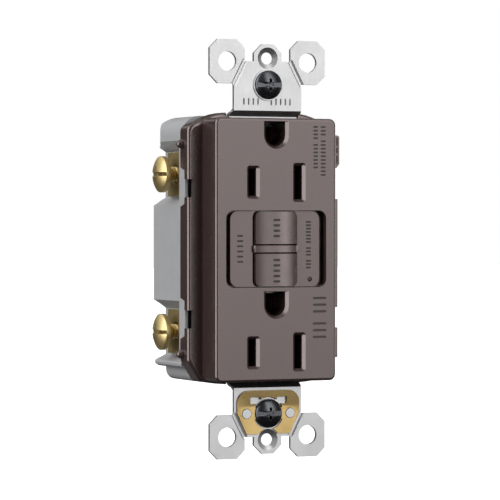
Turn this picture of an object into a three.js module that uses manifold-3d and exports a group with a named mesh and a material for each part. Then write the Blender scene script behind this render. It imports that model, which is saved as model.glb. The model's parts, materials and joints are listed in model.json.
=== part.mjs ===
// Ground-fault receptacle (duplex, rectangular face), built as an assembly.
// Millimetres. +X right seen from the front, +Z up, the face looks along -Y.
// Origin: centre of the rear plane of the mounting strap's ears (the plane that meets the wall).
import * as THREE from 'three';
import { mergeVertices } from 'three/addons/utils/BufferGeometryUtils.js';
import Module from 'manifold-3d';

const wasm = await Module();
wasm.setup();

// ---------------------------------------------------------------- driving dimensions
const FACE_Y = -6.38; // front plane of the cover
const FACE_HALF_X = 16.65;
const FACE_HALF_Z = 33.25;
const FACE_CORNER = 1.6;
const FACE_Z = -0.15; // centre of the face block
const FACE_EDGE = 0.7; // rounding of the face's edge
const WALL_IN_Y = FACE_Y + 2.0; // inner side of the face wall
const SHELF_Y = 2.35; // front of the flange around the face block
const SHELF_IN_Y = 3.35;
const FLANGE_REAR_Y = 7.3;
const FLANGE_TOP_Z = 34.85;
const SIDE_RIB_X = 21.35; // ribs along the flange's right side
const SIDE_RIB_Z = [[-28.0, -20.3], [-15.1, 12.8]];
const FLANGE_EDGE = 0.85; // rounding of the flange's front edge
const FLANGE_HALF_X = 20.6;

const SLOT_X = 6.35; // half of the 12.7 mm blade spacing
const SLOT_WIDTH = 2.05;
const HOT_SLOT_HEIGHT = 6.9;
const NEUTRAL_SLOT_HEIGHT = 8.5;
const SLOT_Z = [16.9, -26.0]; // blade centres of the two receptacles
const GROUND_RISE = 11.87; // ground hole centre above the blade centres
const GROUND_RADIUS = 2.72;
const GROUND_FLAT = 3.4; // flat top above the ground hole's centre
const CHAMFER = 0.73;

const PANEL_Z = 0.1; // centre of the button panel
const WINDOW_HALF_X = 13.85;
const WINDOW_HALF_Z = 9.72;
const PANEL_HALF_X = 12.3;
const PANEL_HALF_Z = 9.5;
const PANEL_Y = FACE_Y + 0.95;
const COLLAR_REAR_Y = -1.9;
const PANEL_STEP_Y = PANEL_Y + 1.6; // ledge round the raised part
const BUTTON_HALF_X = 5.75;
const BUTTON_HEIGHT = 8.22;
const BRIDGE_HALF = 0.85;
const BUTTON_GAP = 0.38;
const BUTTON_SIDE_GAP = 0.42;
const DISH_DEPTH = 0.71;
const BUTTON_Z = [PANEL_Z + BRIDGE_HALF + BUTTON_GAP + BUTTON_HEIGHT / 2,
  PANEL_Z - BRIDGE_HALF - BUTTON_GAP - BUTTON_HEIGHT / 2];

const STRAP_THICKNESS = 0.95;
const COLLAR_RISE = 0.35; // raised ring that the upper screw's head sits on
const STRAP_IN_Y = 2.0; // front of the strap where it runs inside the body
const TAB_HALF_X = 9.35;
const SCREW_Z = 41.67; // half of the 83.34 mm box-screw spacing
const PLATE_HOLE_Z = 48.41; // half of the wall-plate screw spacing
const MOUNTING_SHANK = 17;
const EAR_X = 11.17;
const EAR_Z = 47.5;
const EAR_HOLE_RADIUS = 2.5;
const CLIP_STUD_X = 6.05;
const CLIP_STUD_Z = -41.7;

const REAR_Y = 25.35; // rear plane of the housing
const BLOCK_REAR_Y = 26.1; // its middle block stands out a little
const HOUSING_HALF_X = 20.3;
const HOUSING_FRONT_Y = 7.55; // full-width part starts here
const RIM_Y = 3.6; // rim that nests inside the cover's flange
const RIM_INSET = 1.3;
const POCKET_X = 17.3; // floor of the terminal pockets
const POCKET_FRONT_Y = 8.75;
const CAVITY_HALF_X = 15.6;
const CAVITY_REAR_Y = 23.6;
const LOBE_TOP_Z = 33.9;
const LOBE_ROUND = 4.7; // rounding of the upper lobe's top rear edge
const LOBE_CORNER = 4.6; // rounding of its side rear edges
const NOTCH_Z = [[13.1, 17.7], [-20.0, -15.4]]; // cut through the flange at both sides
const NOTCH_REAR_Y = 4.65;
const NOTCH_IN_X = 19.25;
const KEY_IN_X = 19.5; // inner side of the housing's keys, which stand in the flange's rear edge

const TERMINAL_Y = 16.0; // terminal screw axis
const TERMINAL_Z = [19.1, -21.25];
const TERMINAL_FACE_X = 18.3;
const HEAD_UNDER_X = 21.45;
const SCREW_HEAD_RADIUS = 4.65;
const THREAD_RADIUS = 2.05;
const GROUND_SCREW_Y = 12.5;
const GROUND_SCREW_Z = 27.6;
const GROUND_SEAT_REAR_Y = 17.2;
const CASE_SCREW_X = 13.4;
const CASE_SCREW_Z = 28.6;

const BOARD_Y = 14.3;
const BOARD_THICKNESS = 1.2;
const RESET_Z = BUTTON_Z[1];
const TEST_Z = BUTTON_Z[0];
const LED_X = 9.67;
const LED_Z = -7.6;

// ---------------------------------------------------------------- materials
function material(color, roughness, metalness) {
  return new THREE.MeshStandardMaterial({ color, roughness, metalness });
}

const BROWN = material(0x6f6462, 0.45, 0);
const GREY = material(0x9fa1a5, 0.5, 0);
const DARK_PLASTIC = material(0x3a3c40, 0.6, 0);
const ZINC = material(0xd4d6d8, 0.35, 1);
const BRASS = material(0xb79a55, 0.3, 1);
const BRONZE = material(0x8a5f36, 0.45, 1);
const SILVER = material(0xb9bcc0, 0.3, 1);
const BLACK_STEEL = material(0x26282b, 0.4, 1);
const SPRING_STEEL = material(0x9a9ca0, 0.3, 1);
const BOARD_GREEN = material(0x1f5a3a, 0.5, 0);
const COPPER = material(0xa8653a, 0.35, 1);
const GREEN_SCREW = material(0x2f7a45, 0.4, 1);
const CLEAR = material(0xe6e2d8, 0.2, 0);
const SMOKED = material(0x241c1c, 0.15, 0);
const BLUE = material(0x274f86, 0.5, 0);
const YELLOW = material(0xc4a03a, 0.5, 0);

// ---------------------------------------------------------------- solids
const X_AXIS = new THREE.Vector3(1, 0, 0);
const Y_AXIS = new THREE.Vector3(0, 1, 0);
const Z_AXIS = new THREE.Vector3(0, 0, 1);

// The two outline coordinates of a prism: (Y, Z) along X, (X, Z) along Y, (X, Y) along Z.
const PRISM_BASIS = {
  x: new THREE.Matrix4().makeBasis(Y_AXIS, Z_AXIS, X_AXIS),
  y: new THREE.Matrix4().makeBasis(X_AXIS, Z_AXIS, Y_AXIS.clone().negate()),
  z: new THREE.Matrix4(),
};

function solid(geometry) {
  const bare = geometry.clone();
  bare.deleteAttribute('normal');
  bare.deleteAttribute('uv');
  const merged = mergeVertices(bare, 1e-4);
  const corners = merged.index.array;
  const kept = [];
  for (let i = 0; i < corners.length; i += 3) {
    const [a, b, c] = [corners[i], corners[i + 1], corners[i + 2]];
    if (a !== b && b !== c && c !== a) {
      kept.push(a, b, c);
    }
  }
  const options = {
    numProp: 3,
    vertProperties: new Float32Array(merged.attributes.position.array),
    triVerts: new Uint32Array(kept),
  };
  return new wasm.Manifold(new wasm.Mesh(options));
}

function prism(points, axis, low, high) {
  const shape = new THREE.Shape(points.map(([u, v]) => new THREE.Vector2(u, v)));
  const geometry = new THREE.ExtrudeGeometry(shape, { depth: high - low, bevelEnabled: false });
  geometry.translate(0, 0, axis === 'y' ? -high : low);
  geometry.applyMatrix4(PRISM_BASIS[axis]);
  return solid(geometry);
}

function box(x0, x1, y0, y1, z0, z1) {
  const geometry = new THREE.BoxGeometry(x1 - x0, y1 - y0, z1 - z0);
  geometry.translate((x0 + x1) / 2, (y0 + y1) / 2, (z0 + z1) / 2);
  return solid(geometry);
}

function circle(u, v, radius, segments = 24) {
  const step = (2 * Math.PI) / segments;
  const point = (_, i) => [u + radius * Math.cos(i * step), v + radius * Math.sin(i * step)];
  return Array.from({ length: segments }, point);
}

function cylinder(axis, u, v, radius, low, high, segments = 24) {
  return prism(circle(u, v, radius, segments), axis, low, high);
}

function arc(u, v, radius, from, to, steps) {
  const point = (_, i) => {
    const angle = THREE.MathUtils.degToRad(from + ((to - from) * i) / steps);
    return [u + radius * Math.cos(angle), v + radius * Math.sin(angle)];
  };
  return Array.from({ length: steps + 1 }, point);
}

function roundRect(u, v, halfU, halfV, radius, steps = 5) {
  const [cu, cv] = [halfU - radius, halfV - radius];
  return [
    ...arc(u + cu, v + cv, radius, 0, 90, steps),
    ...arc(u - cu, v + cv, radius, 90, 180, steps),
    ...arc(u - cu, v - cv, radius, 180, 270, steps),
    ...arc(u + cu, v - cv, radius, 270, 360, steps),
  ];
}

// Joins outlines (X, Z) with equal point counts, each at its own Y, into one closed body.
function loft(rings) {
  const first = rings[0].points.map(([u, v]) => new THREE.Vector2(u, v));
  const clockwise = THREE.ShapeUtils.area(first) < 0;
  const turn = (points) => (clockwise ? points.slice().reverse() : points);
  const sections = rings.map(({ y, points }) => ({ y, points: turn(points) }));
  const count = sections[0].points.length;
  const position = sections.flatMap(({ y, points }) => points.flatMap(([x, z]) => [x, y, z]));
  const index = [];
  for (let s = 0; s + 1 < sections.length; s += 1) {
    for (let i = 0; i < count; i += 1) {
      const [a, b] = [s * count + i, s * count + ((i + 1) % count)];
      index.push(a, b, b + count, a, b + count, a + count);
    }
  }
  const outline = sections[0].points.map(([u, v]) => new THREE.Vector2(u, v));
  const last = (sections.length - 1) * count;
  for (const [a, b, c] of THREE.ShapeUtils.triangulateShape(outline, [])) {
    index.push(a, c, b, last + a, last + b, last + c);
  }
  const geometry = new THREE.BufferGeometry();
  geometry.setAttribute('position', new THREE.Float32BufferAttribute(position, 3));
  geometry.setIndex(index);
  const body = solid(geometry);
  if (body.volume() > 0) {
    return body;
  }
  geometry.setIndex(index.map((_, i) => index[i - (i % 3) + (2 - (i % 3))]));
  return solid(geometry);
}

// Rings of a quarter-round front edge whose outline is drawn in by an inset.
function roundedEdge(frontY, radius, outline) {
  return [0, 15, 30, 45, 60, 75, 90].map((degrees) => {
    const angle = THREE.MathUtils.degToRad(degrees);
    return { y: frontY + radius * (1 - Math.cos(angle)), points: outline(radius * (1 - Math.sin(angle))) };
  });
}

// A profile of (radius, height) pairs turned about an axis through (u, v).
function turned(profile, axis, u, v, segments = 24) {
  const points = profile.map(([r, h]) => new THREE.Vector2(r, h));
  const geometry = new THREE.LatheGeometry(points, segments);
  if (axis === 'x') {
    geometry.applyMatrix4(new THREE.Matrix4().makeBasis(Y_AXIS, X_AXIS, Z_AXIS.clone().negate()));
    geometry.translate(0, u, v);
  } else {
    geometry.translate(u, 0, v);
  }
  const body = solid(geometry);
  if (body.volume() > 0) {
    return body;
  }
  const swapped = geometry.index.array.map((_, i, all) => all[i - (i % 3) + (2 - (i % 3))]);
  geometry.setIndex(Array.from(swapped));
  return solid(geometry);
}

function union(pieces) {
  return pieces.reduce((whole, piece) => whole.add(piece));
}

function cut(body, pieces) {
  return pieces.reduce((whole, piece) => whole.subtract(piece), body);
}

// Completes the right half of an outline, which starts and ends on or off the centre line.
function mirrored(points) {
  const left = points.slice().reverse().map(([u, v]) => [-u, v]);
  return [...points, ...left.filter(([u]) => Math.abs(u) > 1e-9)];
}

const receptacle = new THREE.Group();

function add(name, body, finish) {
  const mesh = body.getMesh();
  const geometry = new THREE.BufferGeometry();
  geometry.setAttribute('position', new THREE.BufferAttribute(mesh.vertProperties, 3));
  geometry.setIndex(new THREE.BufferAttribute(mesh.triVerts, 1));
  geometry.computeVertexNormals();
  const part = new THREE.Mesh(geometry, finish);
  part.name = name;
  receptacle.add(part);
  return part;
}

// ---------------------------------------------------------------- outlines
// Flange of the cover, right half from the bottom centre to the top centre.
const FLANGE_OUTLINE = mirrored([
  [0, -34.7], [8.0, -34.5], [13.0, -34.1], [16.5, -33.6], [17.6, -33.0], [20.2, -28.9],
  [FLANGE_HALF_X, -28.0],
  [FLANGE_HALF_X, 29.8], [20.5, 30.5], [20.1, 31.1], [19.4, 31.6], [18.4, 32.05], [17.0, 32.6],
  [15.6, 33.25], [14.2, 33.8], [12.8, 34.25], [11.0, 34.6], [7.0, 34.8], [0, FLANGE_TOP_Z],
]);

// The same outline, simplified and drawn in by an inset, for the flange's inside and the rim.
function nestOutline(inset) {
  return mirrored([
    [0, -33.9 + inset], [16.8 - inset / 2, -33.9 + inset], [FLANGE_HALF_X - inset, -28.4 + inset / 2],
    [FLANGE_HALF_X - inset, 28.9 - inset / 2], [18.6 - inset, 31.0 - inset / 2],
    [14.4 - inset / 2, 33.6 - inset], [0, 33.6 - inset],
  ]);
}

const UPPER_LOBE = [
  [POCKET_X, 25.0], [18.6, 25.6], [HOUSING_HALF_X, 27.6],
  ...arc(HOUSING_HALF_X - 5.2, LOBE_TOP_Z - 5.2, 5.2, 0, 90, 8), [0, LOBE_TOP_Z],
];
const FOOT = [[0, -34.1], [14.6, -33.9], ...arc(14.6, -31.3, 2.6, -90, 0, 5), [17.2, -30.4]];
const LIP = [[19.3, -30.3], [20.1, -29.8], [HOUSING_HALF_X, -29.2], [20.1, -28.7]];

// Housing outline behind the front wall: lobes at both ends, a middle block, pockets between.
const HOUSING_OUTLINE = mirrored([
  ...FOOT, ...LIP, [POCKET_X, -27.4], [POCKET_X, -15.4], [HOUSING_HALF_X, -13.2],
  [HOUSING_HALF_X, 11.1], [POCKET_X, 13.2], ...UPPER_LOBE,
]);
const HOUSING_FRONT_OUTLINE = mirrored([...FOOT, ...LIP, [HOUSING_HALF_X, -27.4], ...UPPER_LOBE.slice(2)]);

function groundOutline(centreZ, grow) {
  const radius = GROUND_RADIUS + grow;
  const top = centreZ + GROUND_FLAT + grow * 0.2;
  return [[radius, top], [-radius, top], ...arc(0, centreZ, radius, 180, 360, 12)];
}

const SLOTS = [];
for (const z of SLOT_Z) {
  SLOTS.push({ x: -SLOT_X, z, half: HOT_SLOT_HEIGHT / 2 });
  SLOTS.push({ x: SLOT_X, z, half: NEUTRAL_SLOT_HEIGHT / 2 });
}

// ---------------------------------------------------------------- front cover
function chamferedOpening(outline) {
  const front = FACE_Y - 0.01;
  const throat = FACE_Y + CHAMFER;
  const wide = outline(CHAMFER);
  const narrow = outline(0);
  return loft([
    { y: front, points: wide }, { y: throat, points: narrow }, { y: SHELF_Y, points: narrow },
  ]);
}

function frontCover() {
  const half = (inset, radius) => roundRect(0, FACE_Z, FACE_HALF_X - inset, FACE_HALF_Z - inset, radius);
  const block = loft([
    ...roundedEdge(FACE_Y, FACE_EDGE, (inset) => half(inset, FACE_CORNER - inset)),
    { y: SHELF_Y + 0.5, points: half(0, FACE_CORNER) },
  ]);
  const flange = loft([
    ...roundedEdge(SHELF_Y, FLANGE_EDGE, (inset) => FLANGE_OUTLINE
      .map(([x, z]) => [x * (1 - inset / FLANGE_HALF_X), z * (1 - inset / FLANGE_TOP_Z)])),
    { y: FLANGE_REAR_Y, points: FLANGE_OUTLINE },
  ]);
  const inside = prism(roundRect(0, 0, 15.0, 31.6, 1.0), 'y', WALL_IN_Y, SHELF_IN_Y + 0.1);
  const nest = prism(nestOutline(1.0), 'y', SHELF_IN_Y, FLANGE_REAR_Y + 0.1);
  let body = cut(block.add(flange), [inside, nest]);

  const collarOutline = roundRect(0, PANEL_Z, WINDOW_HALF_X + 1.0, WINDOW_HALF_Z + 0.7, 2.4);
  body = body.add(prism(collarOutline, 'y', WALL_IN_Y - 0.2, COLLAR_REAR_Y));
  for (const { x, z, half: reach } of SLOTS) {
    body = body.add(box(x - 2.1, x + 2.1, WALL_IN_Y - 0.2, 1.5, z - reach - 1.2, z + reach + 1.2));
  }
  const panelSeat = box(-14.9, 14.9, COLLAR_REAR_Y, SHELF_Y, PANEL_Z - 11.4, PANEL_Z + 11.4);
  for (const z of SLOT_Z) {
    const boss = cylinder('y', 0, z + GROUND_RISE, 4.2, WALL_IN_Y - 0.2, 1.5, 24);
    body = body.add(boss.subtract(panelSeat));
  }
  for (const [x, z] of fourCorners(CASE_SCREW_X, CASE_SCREW_Z)) {
    body = body.add(cylinder('y', x, z, 2.7, WALL_IN_Y - 0.2, 3.05, 12));
    body = body.subtract(cylinder('y', x, z, 1.6, -3.2, 3.2, 10));
  }

  const windowOutline = roundRect(0, PANEL_Z, WINDOW_HALF_X, WINDOW_HALF_Z, 2.0, 6);
  const openings = [prism(windowOutline, 'y', FACE_Y - 1, SHELF_Y)];
  for (const { x, z, half: reach } of SLOTS) {
    const outline = (grow) => roundRect(x, z, SLOT_WIDTH / 2 + grow, reach + grow, 0.12 + grow * 0.7, 2);
    openings.push(chamferedOpening(outline));
  }
  for (const z of SLOT_Z) {
    openings.push(chamferedOpening((grow) => groundOutline(z + GROUND_RISE, grow)));
  }
  for (const side of [-1, 1]) {
    const [low, high] = side < 0 ? [-35, -30] : [30, 35];
    openings.push(box(-9.95, 9.95, 1.7, FLANGE_REAR_Y + 0.1, low, high));
    const [left, right] = side < 0 ? [-21, -NOTCH_IN_X] : [NOTCH_IN_X, 21];
    for (const [bottom, top] of NOTCH_Z) {
      openings.push(box(left, right, SHELF_Y - 0.1, NOTCH_REAR_Y, bottom, top));
    }
    for (const key of keyOutlines(0)) {
      openings.push(prism(key, 'x', side < 0 ? -21 : 19, side < 0 ? -19 : 21));
    }
  }
  body = cut(body, openings);
  for (const [low, high] of SIDE_RIB_Z) {
    body = body.add(box(FLANGE_HALF_X - 0.2, SIDE_RIB_X, SHELF_Y + 0.3, FLANGE_REAR_Y - 0.3, low, high));
  }

  // Snap studs on the flange, and the guard over the ground terminal at the upper right.
  for (const [side, z] of fourCorners(1, 26.6)) {
    const profile = [[0, -1.0], [1.3, -1.0], [1.2, 0.4], [0.75, 1.3], [0.3, 1.6], [0, 1.65]];
    const stud = turned(profile, 'x', 5.95, z, 12);
    body = body.add(stud.scale([side, 1, 1]).translate([side * FLANGE_HALF_X, 0, 0]));
  }
  const guard = prism([[19.0, 29.2], [21.3, 29.2], [21.7, 28.8], [21.7, 21.8], [20.9, 20.8], [19.0, 20.6]],
    'y', SHELF_Y, 5.6);
  body = body.add(guard);
  return cut(body, [
    box(17.0, 21.35, SHELF_IN_Y, FLANGE_REAR_Y + 1, 24.95, 29.45),
    box(19.6, 22, 4.0, 4.5, 21.0, 28.9), prism(nestOutline(1.0), 'y', SHELF_IN_Y, FLANGE_REAR_Y + 0.1),
    box(20.9, 21.2, SHELF_Y - 0.1, 3.0, 26.6, 28.6), box(20.9, 21.2, SHELF_Y - 0.1, 3.0, 24.6, 26.0),
    box(20.9, 21.2, SHELF_Y - 0.1, 3.0, 21.9, 24.0),
  ]);
}

function fourCorners(x, z) {
  return [[x, z], [-x, z], [x, -z], [-x, -z]];
}

// Trapezoid keys of the housing that stand in cut-outs of the flange's rear edge, as (Y, Z).
function keyOutlines(shrink) {
  const key = (low, high) => [
    [4.6 + shrink, low + 0.8 + shrink], [FLANGE_REAR_Y + 0.4, low + shrink],
    [FLANGE_REAR_Y + 0.4, high - shrink], [4.6 + shrink, high - 0.8 - shrink],
  ];
  return [key(10.6, 20.9), key(-22.9, -12.2)];
}

// ---------------------------------------------------------------- button panel and buttons
// Cylinder that hollows a face across X, deepest in the middle.
function dish(edgeY, depth, lowZ, highZ) {
  const radius = (BUTTON_HALF_X ** 2 + depth ** 2) / (2 * depth);
  return cylinder('z', 0, edgeY + depth - radius, radius, lowZ, highZ, 160);
}

function buttonPanel() {
  const raised = prism(roundRect(0, PANEL_Z, PANEL_HALF_X, PANEL_HALF_Z, 2.0, 6), 'y', PANEL_Y, -1.4);
  const base = prism(roundRect(0, PANEL_Z, 15.0, 11.2, 1.5, 3), 'y', -1.6, -0.5);
  const ledgeOutline = roundRect(0, PANEL_Z, WINDOW_HALF_X - 0.12, WINDOW_HALF_Z - 0.1, 1.88, 6);
  const gap = BUTTON_HALF_X + BUTTON_SIDE_GAP;
  let body = raised.add(base).add(prism(ledgeOutline, 'y', PANEL_STEP_Y, -1.4));
  const [low, high] = [PANEL_Z - BRIDGE_HALF, PANEL_Z + BRIDGE_HALF];
  const well = prism(roundRect(0, PANEL_Z, gap, PANEL_HALF_Z + 0.2, 1.7), 'y', FACE_Y - 1, 0);
  body = body.subtract(well.subtract(box(-gap - 1, gap + 1, FACE_Y - 2, 1, low, high)));
  const bridge = box(-gap, gap, FACE_Y + 0.15, -0.9, low, high);
  body = body.add(bridge.subtract(dish(FACE_Y + 0.15, DISH_DEPTH, low - 1, high + 1)));
  return body.subtract(cylinder('y', LED_X, LED_Z, 0.62, PANEL_Y - 1, 0, 16));
}

function buttonCap(z) {
  const half = BUTTON_HEIGHT / 2;
  const outer = Math.sign(z);
  const edge = z + outer * half;
  const inner = z - outer * half;
  const round = (cornerX) => arc(cornerX * (BUTTON_HALF_X - 1.4), edge - outer * 1.4, 1.4,
    cornerX > 0 ? 0 : 90 * outer, cornerX > 0 ? 90 * outer : 180 * outer, 5);
  const outline = [[-BUTTON_HALF_X, inner], [BUTTON_HALF_X, inner], ...round(1), ...round(-1)];
  const points = outer > 0 ? outline : outline.slice().reverse();
  const cap = prism(points, 'y', FACE_Y, -0.1).subtract(dish(FACE_Y, DISH_DEPTH, inner - 9, inner + 9));
  const lip = prism(roundRect(0, z, 7.3, half - 0.4, 0.6, 2), 'y', -0.2, 0.6);
  return cap.add(lip);
}

function testButton() {
  const stem = cylinder('y', 0, TEST_Z, 1.6, 0.5, 7.0, 16);
  return buttonCap(TEST_Z).add(stem);
}

function resetButton() {
  const sleeve = cylinder('y', 0, RESET_Z, 1.75, 0.5, 4.2, 16);
  const socket = cylinder('y', 0, RESET_Z, 1.3, -2.9, 4.3, 16);
  return buttonCap(RESET_Z).add(sleeve).subtract(socket);
}

function resetPin() {
  const profile = [[0, -2.8], [1.1, -2.8], [1.1, 16.1], [0.75, 16.1], [0.75, 17.1], [1.25, 17.1],
    [1.25, 17.5], [0.5, 18.5], [0, 18.5]];
  return turned(profile, 'y', 0, RESET_Z, 16);
}

function coilSpring(radius, wire, turns, start, end, place) {
  class Helix extends THREE.Curve {
    getPoint(t) {
      const angle = 2 * Math.PI * turns * t;
      const along = start + wire / 2 + (end - start - wire) * t;
      return place(radius * Math.cos(angle), radius * Math.sin(angle), along);
    }
  }
  const section = new THREE.Shape(circle(0, 0, wire / 2, 5).map(([u, v]) => new THREE.Vector2(u, v)));
  const steps = Math.round(turns * 8);
  return solid(new THREE.ExtrudeGeometry(section, { steps, extrudePath: new Helix(), bevelEnabled: false }));
}

// ---------------------------------------------------------------- mounting strap
const STRAP_HALF_OUTLINE = [
  [TAB_HALF_X, 35.0], [TAB_HALF_X, 41.5], [TAB_HALF_X + 0.2, 41.9], [13.8, 41.9], [16.0, 44.1], [16.0, 50.85],
  [13.8, 53.05], [8.55, 53.05], [6.35, 50.85], [6.35, 47.6], [3.83, 47.6], [3.83, 49.75],
  [1.55, 52.0], [0, 52.0],
];

function mountingStrap() {
  const t = STRAP_THICKNESS;
  const run = [[-t, 54], [-t, 35.1], [STRAP_IN_Y, 33.7]];
  const back = [[STRAP_IN_Y + t, 34.2], [0, 35.6], [0, 54]];
  const flip = (points) => points.slice().reverse().map(([y, z]) => [y, -z]);
  const profile = [...run, ...flip(run), ...flip(back), ...back];
  const bent = prism(profile, 'x', -17, 17);

  const end = [[TAB_HALF_X + 0.3, 33.75], [TAB_HALF_X + 0.3, 34.7], ...STRAP_HALF_OUTLINE];
  const inside = [[3.9, 0], [3.9, 23.4], [TAB_HALF_X, 23.4], [TAB_HALF_X, 33.75]];
  const upper = mirrored([...inside, ...end]);
  const lowerInside = [[3.9, 0], [3.9, -32.2], [TAB_HALF_X, -32.2], [TAB_HALF_X, -33.75]];
  const lowerEnd = end.map(([x, z]) => [x, -z]);
  const lower = mirrored([...lowerInside, ...lowerEnd]).reverse();
  const blank = union([
    prism(upper, 'y', -2, 5), prism(lower, 'y', -2, 5), box(-8.4, 8.4, -2, 5, -19.9, 10.2),
  ]);
  const collar = cylinder('y', 0, SCREW_Z, 4.0, -t - COLLAR_RISE, -t + 0.1, 32);
  const body = bent.intersect(blank).add(collar);

  const holes = [box(-5.1, 5.1, 1, 4, BUTTON_Z[1] - BUTTON_HEIGHT / 2, BUTTON_Z[0] + BUTTON_HEIGHT / 2)];
  for (const z of SLOT_Z) {
    holes.push(prism(roundRect(0, z + GROUND_RISE, 3.1, 3.2, 1.0, 3), 'y', 1, 4));
    for (const x of [-5.6, 5.6]) {
      holes.push(cylinder('y', x, z + GROUND_RISE, 1.1, 1, 4, 12));
    }
  }
  for (const side of [-1, 1]) {
    holes.push(prism(roundRect(0, side * SCREW_Z, 3.75, 2.75, 2.74, 6), 'y', -2, 1));
    const profileOfHole = [[0, -2], [2.78, -2], [2.78, -t + 0.02], [1.53, -0.25], [1.53, 1], [0, 1]];
    holes.push(turned(profileOfHole, 'y', 0, side * PLATE_HOLE_Z, 20));
    for (const x of [-EAR_X, EAR_X]) {
      holes.push(cylinder('y', x, side * EAR_Z, EAR_HOLE_RADIUS, -2, 1, 20));
    }
    for (const hand of [-1, 1]) {
      holes.push(scoreLine(hand, side));
    }
  }
  // Two studs pressed out of the lower tab hold the brass clip.
  const stud = (x) => cylinder('y', x, CLIP_STUD_Z, 1.2, -t - 0.6, -t + 0.2, 20);
  return union([cut(body, holes), stud(-CLIP_STUD_X), stud(CLIP_STUD_X)]);
}

// Shallow V groove along an ear's root, where the ear can be snapped off.
function scoreLine(hand, side) {
  const [x0, z0, x1, z1] = [6.2, 47.9, TAB_HALF_X + 0.15, 41.55];
  const length = Math.hypot(x1 - x0, z1 - z0);
  const [nx, nz] = [(z0 - z1) / length, (x1 - x0) / length];
  const edge = -STRAP_THICKNESS;
  const ring = (width, y) => ({
    y,
    points: [[x0 - nx * width, z0 - nz * width], [x1 - nx * width, z1 - nz * width],
      [x1 + nx * width, z1 + nz * width], [x0 + nx * width, z0 + nz * width]]
      .map(([x, z]) => [x * hand, z * side]),
  });
  return loft([ring(0.75, edge - 0.05), ring(0.3, edge + 0.5)]);
}

// Brass clip on the lower tab that grips the box screw; its upper part leans forward.
function groundClip() {
  const half = [[0, -35.8], [5.4, -35.8], ...arc(5.4, -39.0, 3.2, 90, 0, 6), [8.6, -41.5],
    [6.05, -46.9], [3.6, -46.9]];
  const outline = prism(mirrored(half), 'y', -4, 0);
  const front = -STRAP_THICKNESS - 0.45;
  const profile = [[front, -48], [front, -39.8], [front - 0.55, -35.0], [front - 0.2, -35.0],
    [front + 0.35, -39.75], [front + 0.35, -48]];
  let body = outline.intersect(prism(profile, 'x', -9, 9));
  const opening = cylinder('y', 0, -SCREW_Z, 4.15, -4, 0, 28);
  const tongues = box(-4.4, 4.4, -4, 0, -SCREW_Z - 1.5, -SCREW_Z + 1.5)
    .subtract(cylinder('y', 0, -SCREW_Z, 2.1, -5, 1, 20));
  body = cut(body, [
    opening.subtract(tongues), cylinder('y', 0, -PLATE_HOLE_Z, 3.0, -4, 0, 28),
    box(2.3, 5.05, -4, 0, -39.2, -37.5), box(-5.05, -2.3, -4, 0, -39.2, -37.5),
    cylinder('y', CLIP_STUD_X, CLIP_STUD_Z, 1.3, -4, 0, 20),
    cylinder('y', -CLIP_STUD_X, CLIP_STUD_Z, 1.3, -4, 0, 20),
  ]);
  return body;
}

// U-shaped contact behind the strap that takes a plug's round ground pin.
function groundContact(z) {
  const half = 2.0;
  const fingers = [-3.3, 2.8].map((x) => box(x, x + 0.5, 3.15, 12.4, z - half, z + half));
  const web = box(-3.3, 3.3, 11.9, 12.4, z - half, z + half);
  const flanges = [-7.4, 2.8].map((x) => box(x, x + 4.6, 3.15, 3.65, z - half, z + half));
  const rivets = [-5.6, 5.6].map((x) => cylinder('y', x, z, 1.0, 1.75, 3.3, 12));
  return union([...fingers, web, ...flanges, ...rivets]);
}

// ---------------------------------------------------------------- screws
// Head with a spherical crown, a slot and a cross; built along +X with its underside at 0.
function drivenHead(radius, rim, dome, slotHalf) {
  const sphere = (radius ** 2 + dome ** 2) / (2 * dome);
  const crown = [1, 0.75, 0.5, 0.25].map((share) => {
    const reach = radius * share;
    return [reach, rim + dome - sphere + Math.sqrt(sphere ** 2 - reach ** 2)];
  });
  const profile = [[0, 0], [radius, 0], ...crown, [0, rim + dome]];
  const top = rim + dome;
  const cutters = [
    box(top - 1.0, top + 1, -radius - 1, radius + 1, -slotHalf, slotHalf),
    box(top - 1.7, top + 1, -slotHalf * 0.8, slotHalf * 0.8, -radius * 0.52, radius * 0.52),
    box(top - 1.7, top + 1, -radius * 0.52, radius * 0.52, -slotHalf * 0.8, slotHalf * 0.8),
  ];
  return cut(turned(profile, 'x', 0, 0, 20), cutters);
}

function screwAlongX(head, shankRadius, shankLength) {
  const tip = [[0, -shankLength], [shankRadius - 0.5, -shankLength], [shankRadius, -shankLength + 0.7],
    [shankRadius, 0.2], [0, 0.2]];
  return head.add(turned(tip, 'x', 0, 0, 16));
}

function terminalScrew(hand, z) {
  const body = screwAlongX(drivenHead(SCREW_HEAD_RADIUS, 1.25, 1.5, 0.55), THREAD_RADIUS, 8.6);
  const placed = hand > 0 ? body : body.rotate([0, 0, 180]);
  return placed.translate([hand * HEAD_UNDER_X, TERMINAL_Y, z]);
}

function mountingScrew(side) {
  const body = screwAlongX(drivenHead(3.65, 0.4, 1.25, 0.6), 1.7, MOUNTING_SHANK);
  const front = side > 0 ? -STRAP_THICKNESS - COLLAR_RISE - 0.1 : -STRAP_THICKNESS - 0.55;
  return body.rotate([0, 0, -90]).translate([0, front, side * SCREW_Z]);
}

function groundScrew() {
  const hex = prism(circle(0, 0, 3.7, 6), 'x', 0, 1.6);
  const cutters = [box(0.8, 2, -4, 4, -0.5, 0.5), box(0.3, 2, -1.6, 1.6, -0.45, 0.45),
    box(0.3, 2, -0.45, 0.45, -1.6, 1.6)];
  const shank = cylinder('x', 0, 0, 1.85, -4.6, 0.3, 16);
  return cut(hex.add(cylinder('x', 0, 0, 3.9, -0.4, 0.1, 20)).add(shank), cutters)
    .translate([22.0, GROUND_SCREW_Y, GROUND_SCREW_Z]);
}

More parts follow.
